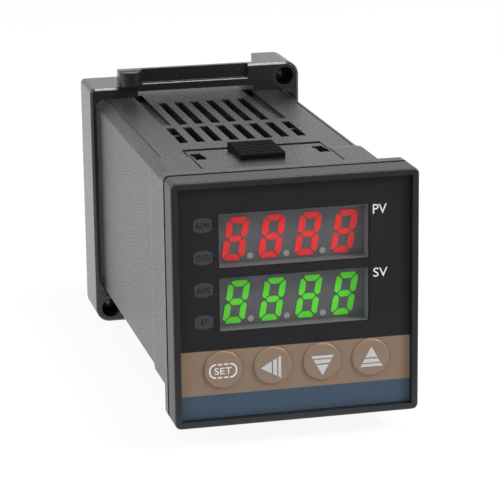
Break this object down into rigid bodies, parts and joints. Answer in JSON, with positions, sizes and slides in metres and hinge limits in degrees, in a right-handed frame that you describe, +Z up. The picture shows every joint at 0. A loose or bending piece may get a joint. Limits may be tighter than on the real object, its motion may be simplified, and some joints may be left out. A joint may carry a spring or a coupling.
{
  "type": "pid temperature controller",
  "caption": "Panel-mounted temperature controller with two lit digital displays, push keys, a vented case, a sliding mounting bracket and rear screw terminals.",
  "frame": {"origin": "centre of the plane where the panel's front sheet seats on the case flange", "axes": "+X to the right seen from the front, +Y back into the cabinet along the case, +Z up"},
  "size_m": [0.048, 0.11, 0.0572],
  "materials": {
    "case_plastic": "moulded, fine satin texture",
    "tab_plastic": "moulded, smooth",
    "block_plastic": "moulded, fine texture",
    "bracket_plastic": "moulded, smooth satin",
    "bezel_plastic": "moulded, fine satin texture",
    "face_film": "printed polycarbonate film",
    "clear_film": "clear polycarbonate film",
    "module_face": "painted face",
    "red_segments": "lit resin",
    "green_segments": "lit resin",
    "unlit_points": "unlit resin",
    "key_caps": "printed film over a moulded cap",
    "circuit_board": "solder mask on glass-epoxy",
    "switch_plastic": "moulded",
    "lamp_resin": "cast resin",
    "nickelled_brass": "stamped and plated",
    "screw_steel": "zinc plated",
    "ferrite": "sintered",
    "coil_tape": "polyester tape",
    "relay_case": "moulded",
    "can_sleeve": "shrunk sleeve",
    "chip_resin": "moulded epoxy"
  },
  "bodies": {
    "case": {"case_shell": "case_plastic", "terminal_block": "block_plastic", "terminal_contacts": "nickelled_brass", "clamp_washers": "nickelled_brass", "terminal_screws": "screw_steel"},
    "chassis": {"front_bezel": "bezel_plastic", "face_overlay": "face_film", "pv_lens": "clear_film", "sv_lens": "clear_film", "pv_display": "module_face", "sv_display": "module_face", "pv_segments": "red_segments", "sv_segments": "green_segments", "pv_points": "unlit_points", "sv_points": "unlit_points", "display_board": "circuit_board", "tact_switches": "switch_plastic", "indicator_leds": "lamp_resin", "power_board": "circuit_board", "control_board": "circuit_board", "board_tie": "switch_plastic", "transformer_core": "ferrite", "transformer_coil": "coil_tape", "output_relay": "relay_case", "filter_capacitors": "can_sleeve", "control_chips": "chip_resin"},
    "latch": {"release_tongue": "case_plastic", "release_tab": "tab_plastic"},
    "bracket": {"mounting_bracket": "bracket_plastic"},
    "upper_screw": {"clamp_screw_upper": "screw_steel"},
    "lower_screw": {"clamp_screw_lower": "screw_steel"},
    "set_key": {"key_set": "key_caps"},
    "left_key": {"key_left": "key_caps"},
    "down_key": {"key_down": "key_caps"},
    "up_key": {"key_up": "key_caps"}
  },
  "joints": [
    {"name": "chassis_slide", "type": "slide", "parent": "case", "child": "chassis", "axis": [0, -1, 0], "range_m": [0, 0.09]},
    {"name": "latch_close", "type": "hinge", "parent": "case", "child": "latch", "pos_m": [0, 0.008, 0.0223], "axis": [-1, 0, 0], "range_deg": [-6, 0], "stiffness_Nm_per_rad": 0.6},
    {"name": "bracket_slide", "type": "slide", "parent": "case", "child": "bracket", "axis": [0, -1, 0], "range_m": [0, 0.072]},
    {"name": "upper_screw_feed", "type": "slide", "parent": "bracket", "child": "upper_screw", "axis": [0, -1, 0], "range_m": [-0.003, 0.008]},
    {"name": "lower_screw_feed", "type": "slide", "parent": "bracket", "child": "lower_screw", "axis": [0, -1, 0], "range_m": [-0.003, 0.008]},
    {"name": "set_key_press", "type": "slide", "parent": "chassis", "child": "set_key", "axis": [0, 1, 0], "range_m": [0, 0.0004], "stiffness_N_per_m": 1000},
    {"name": "left_key_press", "type": "slide", "parent": "chassis", "child": "left_key", "axis": [0, 1, 0], "range_m": [0, 0.0004], "stiffness_N_per_m": 1000},
    {"name": "down_key_press", "type": "slide", "parent": "chassis", "child": "down_key", "axis": [0, 1, 0], "range_m": [0, 0.0004], "stiffness_N_per_m": 1000},
    {"name": "up_key_press", "type": "slide", "parent": "chassis", "child": "up_key", "axis": [0, 1, 0], "range_m": [0, 0.0004], "stiffness_N_per_m": 1000}
  ]
}
